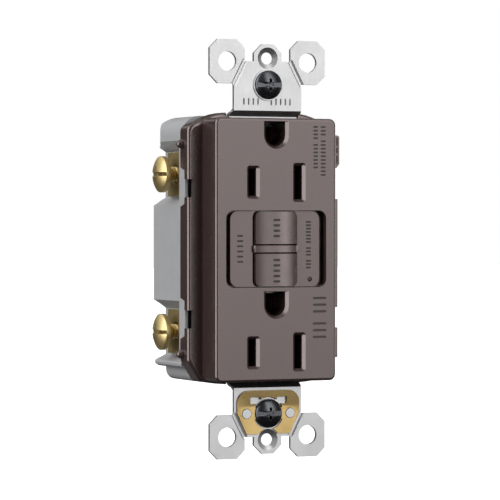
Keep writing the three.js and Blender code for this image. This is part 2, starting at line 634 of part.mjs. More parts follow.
function caseScrew(x, z) {
  const profile = [[0, -1.4], [1.1, -1.4], [1.25, -0.4], [1.25, 23.2], [2.35, 23.2], [2.35, 24.3],
    [1.4, 24.7], [0, 24.7]];
  const cross = [box(x - 1.3, x + 1.3, 23.9, 25, z - 0.3, z + 0.3),
    box(x - 0.3, x + 0.3, 23.9, 25, z - 1.3, z + 1.3)];
  return cut(turned(profile, 'y', x, z, 12), cross);
}

function screwRetainer(side) {
  return cylinder('y', 0, side * SCREW_Z, 3.1, 0.25, 1.0, 20)
    .subtract(cylinder('y', 0, side * SCREW_Z, 1.85, 0, 2, 20));
}

// ---------------------------------------------------------------- terminals
function terminalPlate(hand, z) {
  const face = box(17.5, TERMINAL_FACE_X, 10.25, 21.4, z - 5.65, z + 5.65)
    .subtract(cylinder('x', TERMINAL_Y, z, 2.45, 17, 19, 16));
  const tab = box(13.2, 17.8, 10.9, 11.6, z - 3, z + 3);
  return face.add(tab).scale([hand, 1, 1]);
}

function clampNut(hand, z) {
  const plate = box(13.5, 14.8, 12.1, 19.9, z - 4, z + 4);
  const ribs = [14.0, 18.0].map((y) => box(14.7, 15.1, y - 0.25, y + 0.25, z - 4, z - 2.6)
    .add(box(14.7, 15.1, y - 0.25, y + 0.25, z + 2.6, z + 4)));
  return union([plate, ...ribs]).subtract(cylinder('x', TERMINAL_Y, z, THREAD_RADIUS + 0.12, 13, 16, 16))
    .scale([hand, 1, 1]);
}

// Plated bracket from the strap, round the housing's upper right side, to the green screw.
function groundTerminal() {
  const leg = box(5.2, 21.25, 3.75, 4.35, 25.3, 29.1);
  const foot = box(20.45, 21.25, 3.75, GROUND_SEAT_REAR_Y, 25.3, 29.1);
  const seat = box(20.45, 21.25, 8.0, GROUND_SEAT_REAR_Y, GROUND_SCREW_Z - 2.9, GROUND_SCREW_Z + 2.9);
  const tail = box(20.45, 21.0, GROUND_SEAT_REAR_Y - 0.1, 19.4, GROUND_SCREW_Z - 1.6, GROUND_SCREW_Z + 1.6);
  return cut(union([leg, foot, seat, tail]), [
    cylinder('x', GROUND_SCREW_Y, GROUND_SCREW_Z, 1.95, 20, 22, 16),
    cylinder('y', CASE_SCREW_X, CASE_SCREW_Z, 1.9, 3, 5, 16),
  ]);
}

// Face contacts of one side: a bus with a pair of spring fingers at each slot and a fixed contact.
function contactStrip(hand, reach) {
  const bus = box(7.9, 8.5, 7.5, 12.4, -29.4, 20.6);
  const fingers = SLOT_Z.flatMap((z) => [
    box(4.85, 5.4, 5.2, 12.4, z - reach, z + reach), box(7.3, 7.85, 5.2, 12.4, z - reach, z + reach),
    box(4.85, 8.2, 11.8, 12.4, z - reach, z + reach),
  ]);
  const tab = box(5.3, 8.2, 6.8, 7.3, RESET_Z - 2.2, RESET_Z + 2.2);
  const riser = box(7.9, 8.5, 6.8, 8.0, RESET_Z - 2.2, RESET_Z + 2.2);
  const button = cylinder('y', 6.2, RESET_Z, 1.2, 7.2, 7.5, 12);
  return union([bus, ...fingers, tab, riser, button]).scale([hand, 1, 1]);
}

function bridgeContact(hand) {
  const bar = box(4.4, 7.5, 8.95, 9.4, RESET_Z - 1.9, RESET_Z + 1.9);
  return bar.add(cylinder('y', 6.2, RESET_Z, 1.2, 8.75, 9.1, 12)).scale([hand, 1, 1]);
}

function contactCarriage() {
  const block = box(-7.6, 7.6, 9.6, 12.2, RESET_Z - 3.4, RESET_Z + 3.4);
  const cheeks = [-7.6, 4.2].map((x) => box(x, x + 3.4, 8.8, 9.7, RESET_Z - 3.4, RESET_Z - 2.2));
  return union([block, ...cheeks]).subtract(cylinder('y', 0, RESET_Z, 1.6, 8, 13, 14));
}

// A line conductor: from its terminal inwards, then back through the two sensing transformers.
function lineConductor(hand) {
  const z = TERMINAL_Z[0];
  const inward = box(1.1, 12.9, 12.9, 13.5, z - 1.0, z + 1.0);
  const rise = box(12.3, 12.9, 11.0, 13.5, z - 1.0, z + 1.0);
  const through = box(1.1, 2.0, 12.9, 22.9, z - 1.0, z + 1.0);
  return union([inward, rise, through]).scale([hand, 1, 1]);
}

// ---------------------------------------------------------------- housing and separator
function rearHousing() {
  const rim = prism(nestOutline(RIM_INSET), 'y', RIM_Y, HOUSING_FRONT_Y + 0.2);
  const front = prism(HOUSING_FRONT_OUTLINE, 'y', HOUSING_FRONT_Y, POCKET_FRONT_Y);
  const main = prism(HOUSING_OUTLINE, 'y', POCKET_FRONT_Y - 0.01, REAR_Y);
  const tongues = [[31.2, 33.5], [-33.6, -31.5]].map(([low, high]) => box(-9.6, 9.6, 3.25, 7.8, low, high));
  let body = union([rim, front, main, ...tongues]);
  for (const key of keyOutlines(0.25)) {
    body = body.add(prism(key, 'x', -HOUSING_HALF_X, -KEY_IN_X));
    body = body.add(prism(key, 'x', KEY_IN_X, HOUSING_HALF_X));
  }
  const middle = mirrored([[0, -14.9], [17.6, -14.9], [HOUSING_HALF_X, -13.2], [HOUSING_HALF_X, 11.1],
    [17.6, 12.9], [0, 12.9]]);
  body = body.add(prism(middle, 'y', REAR_Y - 0.1, BLOCK_REAR_Y));
  const [cx, cy] = [HOUSING_HALF_X - LOBE_CORNER, REAR_Y - LOBE_CORNER];
  const round = box(cx, 21, cy, 26, 25.05, 35).subtract(cylinder('z', cx, cy, LOBE_CORNER, 24, 36, 28));
  const [ry, rz] = [REAR_Y - LOBE_ROUND, LOBE_TOP_Z - LOBE_ROUND];
  const roof = box(-21, 21, ry, 26, rz, 35).subtract(cylinder('x', ry, rz, LOBE_ROUND, -22, 22, 32));
  body = cut(body, [round, round.scale([-1, 1, 1]), roof]);
  const fin = [[POCKET_X - 0.2, 24.85], [19.0, 26.05], [19.0, 26.7], [POCKET_X - 0.2, 25.5]];
  const ribs = prism(fin, 'y', 21.8, REAR_Y - 0.3);
  body = body.add(ribs).add(prism(fin.map(([x, z]) => [-x, z]).reverse(), 'y', 21.8, REAR_Y - 0.3));

  const hollow = union([
    prism(nestOutline(RIM_INSET + 1.2), 'y', RIM_Y - 0.1, POCKET_FRONT_Y - 0.8),
    box(-CAVITY_HALF_X, CAVITY_HALF_X, 7.8, CAVITY_REAR_Y, -31, 31),
    box(-18.6, 18.6, 7.8, CAVITY_REAR_Y, -10.6, 9.4),
  ]);
  const posts = union(fourCorners(CASE_SCREW_X, CASE_SCREW_Z)
    .map(([x, z]) => cylinder('y', x, z, 3.4, 5.3, REAR_Y - 0.3, 14)));
  body = body.subtract(hollow.subtract(posts));

  const openings = [];
  for (const [x, z] of fourCorners(CASE_SCREW_X, CASE_SCREW_Z)) {
    openings.push(cylinder('y', x, z, 1.6, 5, REAR_Y + 1, 10));
    openings.push(cylinder('y', x, z, 2.7, 23.0, REAR_Y + 1, 14));
  }
  for (const hand of [-1, 1]) {
    for (const z of TERMINAL_Z) {
      openings.push(box(15, 18, 10.6, 20.9, z - 4.7, z + 4.7).scale([hand, 1, 1]));
      for (const offset of [-2.95, 2.95]) {
        openings.push(cylinder('y', hand * 15.75, z + offset, 1.4, 20, REAR_Y + 1, 12));
      }
    }
  }
  for (const [bottom, top] of NOTCH_Z) {
    const gap = box(18.0, 21, RIM_Y - 0.1, NOTCH_REAR_Y + 0.1, bottom - 0.5, top + 0.5)
      .add(box(18.0, KEY_IN_X, RIM_Y - 0.1, POCKET_FRONT_Y - 0.8, bottom - 0.5, top + 0.5));
    openings.push(gap, gap.scale([-1, 1, 1]));
  }
  openings.push(box(12, 19.5, RIM_Y - 0.1, 4.65, 25.0, 29.4));
  openings.push(cylinder('x', GROUND_SCREW_Y, GROUND_SCREW_Z, 2.3, 16.8, 21, 16));
  return cut(body, openings);
}

function contactSeparator() {
  const outline = nestOutline(RIM_INSET + 1.5);
  let body = prism(outline, 'y', 3.6, 5.0);
  const cups = [TEST_Z, RESET_Z].map((z) => cylinder('y', 0, z, 4.1, 4.8, 7.2, 16));
  body = union([body, ...cups]);
  const openings = [];
  for (const z of [TEST_Z, RESET_Z]) {
    openings.push(cylinder('y', 0, z, 3.2, 3, 6.4, 16), cylinder('y', 0, z, 2.0, 3, 8, 12));
  }
  for (const { x, z, half } of SLOTS) {
    openings.push(box(x - 1.9, x + 1.9, 3, 6, z - half - 0.6, z + half + 0.6));
  }
  for (const z of SLOT_Z) {
    openings.push(box(-7.7, 7.7, 3, 3.95, z + GROUND_RISE - 2.5, z + GROUND_RISE + 2.5));
    openings.push(box(-3.6, 3.6, 3, 6, z + GROUND_RISE - 3.1, z + GROUND_RISE + 3.1));
  }
  for (const [x, z] of fourCorners(CASE_SCREW_X, CASE_SCREW_Z)) {
    openings.push(cylinder('y', x, z, 1.6, 3, 6, 10));
  }
  openings.push(cylinder('y', LED_X, LED_Z, 1.3, 3, 6, 16), box(4.9, 20, 3, 4.65, 25.0, 29.4));
  return cut(body, openings);
}

// ---------------------------------------------------------------- circuit board and its parts
function circuitBoard() {
  const outline = mirrored([
    [0, -29.2], [9.3, -29.2], [9.3, -24.6], [12.3, -24.6], [12.3, 24.6], [9.3, 24.6], [9.3, 29.2], [0, 29.2],
  ]);
  return cut(prism(outline, 'y', BOARD_Y, BOARD_Y + BOARD_THICKNESS), [
    cylinder('y', 0, RESET_Z, 1.7, 14, 16, 16), cylinder('y', 0, TERMINAL_Z[0], 2.9, 14, 16, 20),
  ]);
}

function transformer(y0, y1, radius) {
  const z = TERMINAL_Z[0];
  return cylinder('y', 0, z, radius, y0, y1, 28).subtract(cylinder('y', 0, z, 3.1, y0 - 1, y1 + 1, 20));
}

const SOLENOID_Y = 19.5;
const SOLENOID_REAR_Z = -24.6;
const SOLENOID_FRONT_Z = -12.2;

function solenoidBobbin() {
  const [low, high] = [SOLENOID_REAR_Z, SOLENOID_FRONT_Z];
  const flange = (z) => prism(roundRect(0, SOLENOID_Y, 3.9, 3.7, 0.6, 2), 'z', z, z + 0.8);
  const tube = cylinder('z', 0, SOLENOID_Y, 2.1, low, high, 20);
  return union([flange(low), flange(high - 0.8), tube])
    .subtract(cylinder('z', 0, SOLENOID_Y, 1.6, low - 1, high + 1, 20));
}

function solenoidWinding() {
  const [low, high] = [SOLENOID_REAR_Z + 0.9, SOLENOID_FRONT_Z - 0.9];
  return cylinder('z', 0, SOLENOID_Y, 3.5, low, high, 28)
    .subtract(cylinder('z', 0, SOLENOID_Y, 2.2, low - 1, high + 1, 20));
}

function tripPlunger() {
  return cylinder('z', 0, SOLENOID_Y, 1.45, -22.0, -10.1, 20)
    .add(cylinder('z', 0, SOLENOID_Y, 2.0, -10.3, -9.5, 20));
}

// Steel latch that the reset pin's groove hooks; an upright leg hangs on the plunger.
function latchPlate() {
  const plate = box(-3.2, 3.2, 16.3, 16.9, -9.2, -2.0);
  const leg = box(-2.4, 2.4, 16.3, 21.3, -9.3, -8.7);
  const keyhole = union([cylinder('y', 0, RESET_Z, 1.45, 16, 18, 16),
    box(-1.2, 1.2, 16, 18, RESET_Z, RESET_Z + 2.5)]);
  return plate.add(leg).subtract(keyhole);
}

// ---------------------------------------------------------------- the assembly
add('front_cover', frontCover(), BROWN);
add('button_panel', buttonPanel(), BROWN);
add('test_button', testButton(), BROWN);
add('reset_button', resetButton(), BROWN);
add('test_spring', coilSpring(2.35, 0.42, 4.5, 0.75, 6.3, (a, b, c) => new THREE.Vector3(a, c, TEST_Z + b)),
  SPRING_STEEL);
add('reset_spring', coilSpring(2.45, 0.5, 4.5, 0.75, 6.3, (a, b, c) => new THREE.Vector3(a, c, RESET_Z + b)),
  SPRING_STEEL);
add('indicator_light_pipe', turned([[0, PANEL_Y + 0.1], [0.47, PANEL_Y + 0.1], [0.47, 0.2], [0.85, 0.6],
  [0.85, 12.7], [0, 12.7]], 'y', LED_X, LED_Z, 14), SMOKED);
add('indicator_led', turned([[0, 12.9], [0.7, 13.0], [1.0, 13.4], [1.0, 14.15], [0, 14.15]], 'y',
  LED_X, LED_Z, 14), CLEAR);

add('mounting_strap', mountingStrap(), ZINC);
add('ground_clip', groundClip(), BRASS);
add('upper_ground_contact', groundContact(SLOT_Z[0] + GROUND_RISE), BRONZE);
add('lower_ground_contact', groundContact(SLOT_Z[1] + GROUND_RISE), BRONZE);
add('top_mounting_screw', mountingScrew(1), BLACK_STEEL);
add('bottom_mounting_screw', mountingScrew(-1), BLACK_STEEL);
add('top_screw_retainer', screwRetainer(1), DARK_PLASTIC);
add('bottom_screw_retainer', screwRetainer(-1), DARK_PLASTIC);
add('ground_terminal', groundTerminal(), ZINC);
add('ground_screw', groundScrew(), GREEN_SCREW);

add('rear_housing', rearHousing(), GREY);
add('contact_separator', contactSeparator(), DARK_PLASTIC);
fourCorners(CASE_SCREW_X, CASE_SCREW_Z)
  .forEach(([x, z], i) => add(`case_screw_${i + 1}`, caseScrew(x, z), ZINC));
add('hot_contact_strip', contactStrip(-1, 3.0), BRONZE);
add('neutral_contact_strip', contactStrip(1, 3.6), BRONZE);
add('line_hot_conductor', lineConductor(-1), COPPER);
add('line_neutral_conductor', lineConductor(1), COPPER);

const SIDES = [{ hand: -1, pole: 'hot', finish: BRASS }, { hand: 1, pole: 'neutral', finish: SILVER }];
const CIRCUITS = ['line', 'load'];
for (const { hand, pole, finish } of SIDES) {
  CIRCUITS.forEach((circuit, i) => {
    add(`${circuit}_${pole}_terminal`, terminalPlate(hand, TERMINAL_Z[i]), finish);
    add(`${circuit}_${pole}_clamp_nut`, clampNut(hand, TERMINAL_Z[i]), finish);
    add(`${circuit}_${pole}_screw`, terminalScrew(hand, TERMINAL_Z[i]), finish);
  });
}

add('reset_pin', resetPin(), SPRING_STEEL);
add('contact_carriage', contactCarriage(), DARK_PLASTIC);
add('hot_bridge_contact', bridgeContact(-1), BRONZE);
add('neutral_bridge_contact', bridgeContact(1), BRONZE);
add('test_contact_blade', box(-1.5, 1.5, 8.4, 8.7, TEST_Z - 3.5, TEST_Z + 4.5)
  .add(box(-1.5, 1.5, 8.4, 14.1, TEST_Z + 4.2, TEST_Z + 4.5)), BRONZE);
add('circuit_board', circuitBoard(), BOARD_GREEN);
add('ground_fault_transformer', transformer(15.8, 19.0, 6.6), COPPER);
add('grounded_neutral_transformer', transformer(19.3, 22.5, 6.6), YELLOW);
add('solenoid_bobbin', solenoidBobbin(), DARK_PLASTIC);
add('solenoid_winding', solenoidWinding(), COPPER);
add('trip_plunger', tripPlunger(), SPRING_STEEL);
add('latch_plate', latchPlate(), SPRING_STEEL);
add('plunger_spring', coilSpring(1.85, 0.3, 3.5, -12.1, -10.4,
  (a, b, c) => new THREE.Vector3(a, SOLENOID_Y + b, c)), SPRING_STEEL);
add('surge_varistor', cylinder('y', 8.2, 6.6, 3.8, 15.9, 19.4, 24), BLUE);
add('film_capacitor', box(-10.5, -3.5, 15.8, 21.5, 4.0, 9.6), YELLOW);
add('test_resistor', cylinder('x', 17.2, -7.5, 1.0, -11.8, -6.4, 14), BLUE);
add('control_chip', box(4.2, 8.6, 15.7, 17.4, -4.5, 1.5), DARK_PLASTIC);
add('trip_thyristor', box(-11.5, -8.7, 15.7, 20.4, -2.5, 2.2), DARK_PLASTIC);

export default receptacle;
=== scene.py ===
"""Looks of a duplex ground-fault receptacle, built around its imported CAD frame.

Metres, +Z up, the face looks along -Y and the origin is the centre of the strap ears' rear plane.
"""

import json
import math

import bmesh
import bpy
from mathutils import Matrix, Vector

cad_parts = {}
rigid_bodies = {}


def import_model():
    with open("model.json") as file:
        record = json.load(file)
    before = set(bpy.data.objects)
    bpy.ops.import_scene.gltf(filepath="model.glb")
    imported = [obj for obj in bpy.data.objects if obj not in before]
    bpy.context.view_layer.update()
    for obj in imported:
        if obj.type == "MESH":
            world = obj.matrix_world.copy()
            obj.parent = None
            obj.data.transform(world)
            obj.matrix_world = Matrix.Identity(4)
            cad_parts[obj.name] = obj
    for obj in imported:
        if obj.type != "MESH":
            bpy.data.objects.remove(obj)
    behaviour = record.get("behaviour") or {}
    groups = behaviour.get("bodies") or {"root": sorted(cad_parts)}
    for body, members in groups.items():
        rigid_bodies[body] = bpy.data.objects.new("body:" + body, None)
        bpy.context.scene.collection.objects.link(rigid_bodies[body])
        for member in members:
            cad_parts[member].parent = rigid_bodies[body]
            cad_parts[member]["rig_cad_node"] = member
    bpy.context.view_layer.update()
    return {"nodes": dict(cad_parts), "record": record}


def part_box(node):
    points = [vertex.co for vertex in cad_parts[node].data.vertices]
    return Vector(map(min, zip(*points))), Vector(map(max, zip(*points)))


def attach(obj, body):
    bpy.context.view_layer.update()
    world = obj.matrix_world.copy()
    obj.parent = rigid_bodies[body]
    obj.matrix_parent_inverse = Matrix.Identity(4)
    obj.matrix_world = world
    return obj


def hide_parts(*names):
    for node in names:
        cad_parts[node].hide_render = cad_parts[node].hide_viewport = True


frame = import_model()
NODES = frame["nodes"]
MM = 0.001
PI = math.pi


# ------------------------------------------------------------------ node graphs
class Graph:
    """A material's node graph, with short calls for the nodes used here."""

    def __init__(self, name):
        self.material = bpy.data.materials.new(name)
        self.material.use_nodes = True
        self.tree = self.material.node_tree
        self.shader = self.tree.nodes["Principled BSDF"]
        self.place = self.add("ShaderNodeTexCoord").outputs["Object"]

    def add(self, kind, inputs=(), **settings):
        node = self.tree.nodes.new(kind)
        for key, value in settings.items():
            setattr(node, key, value)
        for key, value in dict(inputs).items():
            self.feed(node.inputs[key], value)
        return node

    def feed(self, socket, value):
        if isinstance(value, bpy.types.NodeSocket):
            self.tree.links.new(value, socket)
        else:
            socket.default_value = value

    def set(self, **values):
        """Sets or links the shader's own sockets, spaces in their names written as underscores."""
        for key, value in values.items():
            self.feed(self.shader.inputs[key.replace("_", " ")], value)

    def stretched(self, scale):
        return self.add("ShaderNodeMapping", {"Vector": self.place, "Scale": scale}).outputs[0]

    def noise(self, scale, detail=3.0, roughness=0.5, stretch=None):
        where = self.place if stretch is None else self.stretched(stretch)
        values = {"Vector": where, "Scale": scale, "Detail": detail, "Roughness": roughness}
        return self.add("ShaderNodeTexNoise", values).outputs["Fac"]

    def span(self, value, low, high, start=0.0, end=1.0):
        """Maps start..end to low..high, clamped."""
        values = {"Value": value, "From Min": start, "From Max": end, "To Min": low, "To Max": high}
        return self.add("ShaderNodeMapRange", values).outputs[0]

    def ramp(self, value, stops):
        node = self.add("ShaderNodeValToRGB", {"Fac": value})
        elements = node.color_ramp.elements
        while len(elements) < len(stops):
            elements.new(0.5)
        for element, (position, colour) in zip(elements, stops):
            element.position = position
            element.color = (*colour, 1.0)
        return node.outputs["Color"]

    def bump(self, height, distance, strength=1.0):
        values = {"Height": height, "Distance": distance, "Strength": strength}
        self.set(Normal=self.add("ShaderNodeBump", values).outputs["Normal"])


def shade(colour, factor):
    return tuple(min(1.0, c * factor) for c in colour)


# ------------------------------------------------------------------ materials
MOTTLE_SCALE = 260.0
GLOSS_SCALE = 500.0
TARNISH_SCALE = 180.0
TRACE_SCALE = 260.0


def moulded_plastic(name, colour, roughness, grain, depth, spread=0.05, gloss=0.5, tint=(1.0, 1.0, 1.0)):
    """Moulded thermoplastic: faint mottling, a fine surface grain and slightly uneven gloss."""
    g = Graph(name)
    mottle = g.noise(MOTTLE_SCALE, 4.0)
    g.set(Base_Color=g.ramp(mottle, [(0.3, shade(colour, 1 - spread)), (0.7, shade(colour, 1 + spread))]))
    g.set(Roughness=g.span(g.noise(GLOSS_SCALE), roughness - 0.02, roughness + 0.03, 0.3, 0.7))
    g.set(Specular_IOR_Level=gloss, Specular_Tint=(*tint, 1.0))
    g.bump(g.noise(grain, 2.0, 0.6), depth)
    return g.material


def metal(name, colour, roughness, spread=0.06, brush=None, grain=2600.0, depth=2e-6, tarnish=None):
    """Sheet or turned metal: brushed or grained, with uneven sheen and a little tarnish."""
    g = Graph(name)
    cloud = g.noise(TARNISH_SCALE, 5.0, 0.6)
    dull = shade(colour, 0.9) if tarnish is None else tarnish
    g.set(Base_Color=g.ramp(cloud, [(0.3, dull), (0.65, colour)]), Metallic=1.0)
    streak = g.noise(1.0, 3.0, 0.6, stretch=brush) if brush else g.noise(grain, 3.0, 0.6)
    g.set(Roughness=g.span(streak, roughness - spread, roughness + spread, 0.3, 0.7))
    g.bump(streak, depth)
    return g.material


def circuit_laminate():
    """Solder-masked board, with copper traces showing through as a lighter grid."""
    g = Graph("board_laminate")
    traces = g.add("ShaderNodeTexBrick", {
        "Vector": g.place, "Color1": (0.02, 0.12, 0.06, 1), "Color2": (0.03, 0.16, 0.08, 1),
        "Mortar": (0.07, 0.28, 0.14, 1), "Scale": TRACE_SCALE, "Mortar Size": 0.03})
    g.set(Base_Color=traces.outputs["Color"], Roughness=g.span(g.noise(900.0), 0.32, 0.5))
    g.bump(traces.outputs["Fac"], 3e-5, 0.5)
    return g.material


def wound_wire(name, light, dark, turns):
    """Layers of enamelled wire: fine bands across the winding."""
    g = Graph(name)
    bands = g.add("ShaderNodeTexWave", {"Vector": g.place, "Scale": turns, "Distortion": 0.4, "Detail": 1.0},
                  bands_direction="Z")
    g.set(Base_Color=g.ramp(bands.outputs["Fac"], [(0.1, dark), (0.6, light)]), Metallic=0.85, Roughness=0.32)
    g.bump(bands.outputs["Fac"], 6e-5)
    return g.material


def clear_plastic():
    g = Graph("clear_plastic")
    g.set(Base_Color=g.ramp(g.noise(500.0), [(0.3, (0.78, 0.76, 0.70)), (0.7, (0.86, 0.84, 0.80))]))
    g.set(Roughness=g.span(g.noise(1500.0), 0.08, 0.16), Transmission_Weight=0.35)
    return g.material


BROWN = (0.035, 0.022, 0.020)
GREY = (0.262, 0.264, 0.27)

MATERIALS = {
    "cover_plastic": moulded_plastic("brown_plastic", BROWN, 0.23, 1200.0, 4e-7, gloss=1.0,
                                     tint=(1.0, 0.86, 0.84)),
    "housing_plastic": moulded_plastic("grey_plastic", GREY, 0.5, 2500.0, 2e-6, 0.03),
    "inner_plastic": moulded_plastic("dark_plastic", (0.035, 0.037, 0.042), 0.5, 3000.0, 8e-6, 0.12),
    "retainer_fibre": moulded_plastic("pressed_fibre", (0.05, 0.042, 0.035), 0.8, 1800.0, 3e-5, 0.3),
    "zinc_steel": metal("zinc_plated_steel", (0.46, 0.46, 0.465), 0.44, 0.03, brush=(5200.0, 5200.0, 240.0),
                        depth=1e-6),
    "brass": metal("pressed_brass", (0.42, 0.30, 0.125), 0.33, tarnish=(0.36, 0.255, 0.105)),
    # A lighter, warmer copy of the brass for the terminal screws and plates, whose sides face the dark rear
    # left of the studio: its extra brightness is painted light.
    "brass_with_painted_light": metal("brass_with_painted_light", (0.60, 0.475, 0.23), 0.44, tarnish=(0.52, 0.40, 0.18)),
    # The contacts are drawn much darker than the other brass: painted shade for their place deep inside the
    # face's openings.
    "contact_bronze": metal("contact_bronze", (0.20, 0.12, 0.06), 0.4, tarnish=(0.13, 0.08, 0.045)),
    "silver_plating": metal("nickel_plating", (0.60, 0.60, 0.59), 0.28),
    "black_steel": metal("black_oxide_steel", (0.075, 0.077, 0.082), 0.32, 0.08),
    "spring_steel": metal("spring_steel", (0.48, 0.48, 0.50), 0.28),
    "green_steel": metal("green_lacquered_steel", (0.03, 0.22, 0.08), 0.32, 0.05),
    "board": circuit_laminate(),
    "copper": wound_wire("enamelled_copper", (0.62, 0.28, 0.13), (0.26, 0.10, 0.045), 900.0),
    "clear_plastic": clear_plastic(),
    "smoked_lens": moulded_plastic("smoked_lens", (0.012, 0.009, 0.009), 0.3, 2000.0, 1e-6),
    "blue_epoxy": moulded_plastic("blue_epoxy", (0.02, 0.09, 0.30), 0.3, 900.0, 3e-5, 0.15),
    "yellow_film": moulded_plastic("yellow_film", (0.62, 0.42, 0.05), 0.35, 700.0, 3e-5, 0.1),
}
SLOT_OF = {row["node"]: row["material_slot"] for row in frame["record"]["subparts"]}


def dress(obj, slot):
    """Gives a piece its slot's material."""
    obj.data.materials.clear()
    obj.data.materials.append(MATERIALS[slot])
    return obj


def round_edges(obj, width):
    """Bevels the edges that turn by more than SHARP_ANGLE and smooths the rest."""
    bevel = obj.modifiers.new("bevel", "BEVEL")
    bevel.width = width
    bevel.segments = 2
    bevel.limit_method = "ANGLE"
    bevel.angle_limit = math.radians(SHARP_ANGLE)
    bevel.harden_normals = False
    normals = obj.modifiers.new("normals", "WEIGHTED_NORMAL")
    normals.keep_sharp = True
    for polygon in obj.data.polygons:
        polygon.use_smooth = True


def soften(obj, width):
    """Rounds the edges of a faceted piece, once the facets that lie in one plane are merged."""
    weld = obj.modifiers.new("weld", "WELD")
    weld.merge_threshold = WELD_DISTANCE
    flat = obj.modifiers.new("flatten", "DECIMATE")
    flat.decimate_type = "DISSOLVE"
    flat.angle_limit = math.radians(FLAT_ANGLE)
    round_edges(obj, width)


# Angles in degrees.
SHARP_ANGLE = 28.0
FLAT_ANGLE = 0.4
WELD_DISTANCE = 1e-6
EDGE_WIDTH = {
    "front_cover": 0.14 * MM, "button_panel": 0.14 * MM, "test_button": 0.12 * MM, "reset_button": 0.12 * MM,
    "rear_housing": 0.16 * MM, "mounting_strap": 0.07 * MM, "ground_clip": 0.05 * MM,
}
OTHER_EDGE_WIDTH = 0.06 * MM
# The terminal plates are pressed brass, given the lighter brass copy as painted light.
TERMINALS_WITH_PAINTED_LIGHT = ("line_hot_terminal", "load_hot_terminal")
for name, node in NODES.items():
    dress(node, "brass_with_painted_light" if name in TERMINALS_WITH_PAINTED_LIGHT else SLOT_OF[name])
    soften(node, EDGE_WIDTH.get(name, OTHER_EDGE_WIDTH))


# ------------------------------------------------------------------ mesh helpers
def mesh_object(name, bm):
    bmesh.ops.recalc_face_normals(bm, faces=bm.faces)
    mesh = bpy.data.meshes.new(name)
    bm.to_mesh(mesh)
    bm.free()
    obj = bpy.data.objects.new(name, mesh)
    bpy.context.scene.collection.objects.link(obj)
    return obj


def grid_faces(bm, rings, closed=True):
    """Quads between rings of vertices that each go round once."""
    count = len(rings[0])
    for low, high in zip(rings, rings[1:]):
        for i in range(count if closed else count - 1):
            j = (i + 1) % count
            bm.faces.new((low[i], low[j], high[j], high[i]))


def lathe(profile, segments=64, ripple=None):
    """A closed body turned about Z from (radius, height) points; ripple may change a radius by angle."""
    bm = bmesh.new()
    rings = []
    for radius, height in profile:
        ring = []
        for i in range(segments):
            angle = 2 * PI * i / segments
            reach = radius + (ripple(angle, height) if ripple else 0.0)
            ring.append(bm.verts.new((reach * math.cos(angle), reach * math.sin(angle), height)))
        rings.append(ring)
    grid_faces(bm, rings)
    bm.faces.new(rings[0])
    bm.faces.new(rings[-1])
    return bm


def cap_profile(radius, rim, rise, steps=10, edge=0.12 * MM):
    """Underside, rim and a spherical crown that rises above the rim, as (radius, height)."""
    sphere = (radius ** 2 + rise ** 2) / (2 * rise)
    widest = math.asin(radius / sphere)
    crown = [(sphere * math.sin(widest * (1 - k / steps)), rim + rise - sphere
              + sphere * math.cos(widest * (1 - k / steps))) for k in range(1, steps)]
    return [(radius - edge, 0.0), (radius, edge), (radius, rim - edge), (radius - 0.4 * edge, rim), *crown,
            (0.02 * radius, rim + rise)]


def block(size, centre, taper=1.0):
    """A box whose lower end is drawn in by taper, to cut recesses with."""
    bm = bmesh.new()
    bmesh.ops.create_cube(bm, size=1.0)
    for vert in bm.verts:
        pinch = taper if vert.co.z < 0 else 1.0
        vert.co = Vector((vert.co.x * size[0] * pinch, vert.co.y * size[1] * pinch, vert.co.z * size[2]))
        vert.co += Vector(centre)
    return bm


def carve(obj, cutters):
    """Cuts each body out of obj and leaves a plain mesh."""
    tools = []
    for bm in cutters:
        tool = mesh_object("cutter", bm)
        tools.append(tool)
        cut = obj.modifiers.new("cut", "BOOLEAN")
        cut.operation = "DIFFERENCE"
        cut.solver = "EXACT"
        cut.object = tool
    graph = bpy.context.evaluated_depsgraph_get()
    result = bpy.data.meshes.new_from_object(obj.evaluated_get(graph))
    obj.modifiers.clear()
    obj.data = result
    for tool in tools:
        bpy.data.objects.remove(tool)
    return obj


def joined(name, pieces):
    """One object of several pieces that share a place."""
    bm = bmesh.new()
    for piece in pieces:
        bm.from_mesh(piece.data)
        bpy.data.objects.remove(piece)
    return mesh_object(name, bm)


# ------------------------------------------------------------------ screws
MACHINE_PITCH = 25.4 / 32 * MM
MOUNTING_HEAD = {
    "radius": 3.65 * MM, "rim": 0.4 * MM, "rise": 1.25 * MM,
    "slot_width": 1.25 * MM, "slot_depth": 1.15 * MM, "cross": 2.5 * MM,
}
MOUNTING_SHANK = {"radius": 1.7 * MM, "depth": 0.38 * MM}
TERMINAL_HEAD = {
    "radius": 4.65 * MM, "rim": 1.25 * MM, "rise": 1.5 * MM,
    "slot_width": 1.0 * MM, "slot_depth": 1.5 * MM, "cross": 3.2 * MM,
}
TERMINAL_SHANK = {"radius": 2.05 * MM, "depth": 0.4 * MM}
SHANK_OVERLAP = 0.15 * MM
SCREW_EDGE = 0.05 * MM
# Of the slot's width, of the cross's half length, and of a recess's width at its floor.
CROSS_ARM = 0.85
CROSS_DEPTH = 1.25
RECESS_TAPER = 0.3
# The thread runs out over this many pitches at the tip, and loses this part of its radius.
TIP_PITCHES = 1.5
TIP_TAPER = 0.3


def screw_head(name, radius, rim, rise, slot_width, slot_depth, cross):
    """Round head along +Z with a slot along X and a tapered cross recess, of half length cross."""
    head = mesh_object(name, lathe(cap_profile(radius, rim, rise)))
    top = rim + rise
    slot = block((2.4 * radius, slot_width, 2 * slot_depth), (0, 0, top))
    arm = CROSS_ARM * slot_width
    depth = CROSS_DEPTH * cross
    along = block((2 * cross, arm, 2 * depth), (0, 0, top), RECESS_TAPER)
    across = block((arm, 2 * cross, 2 * depth), (0, 0, top), RECESS_TAPER)
    return carve(head, [slot, along, across])


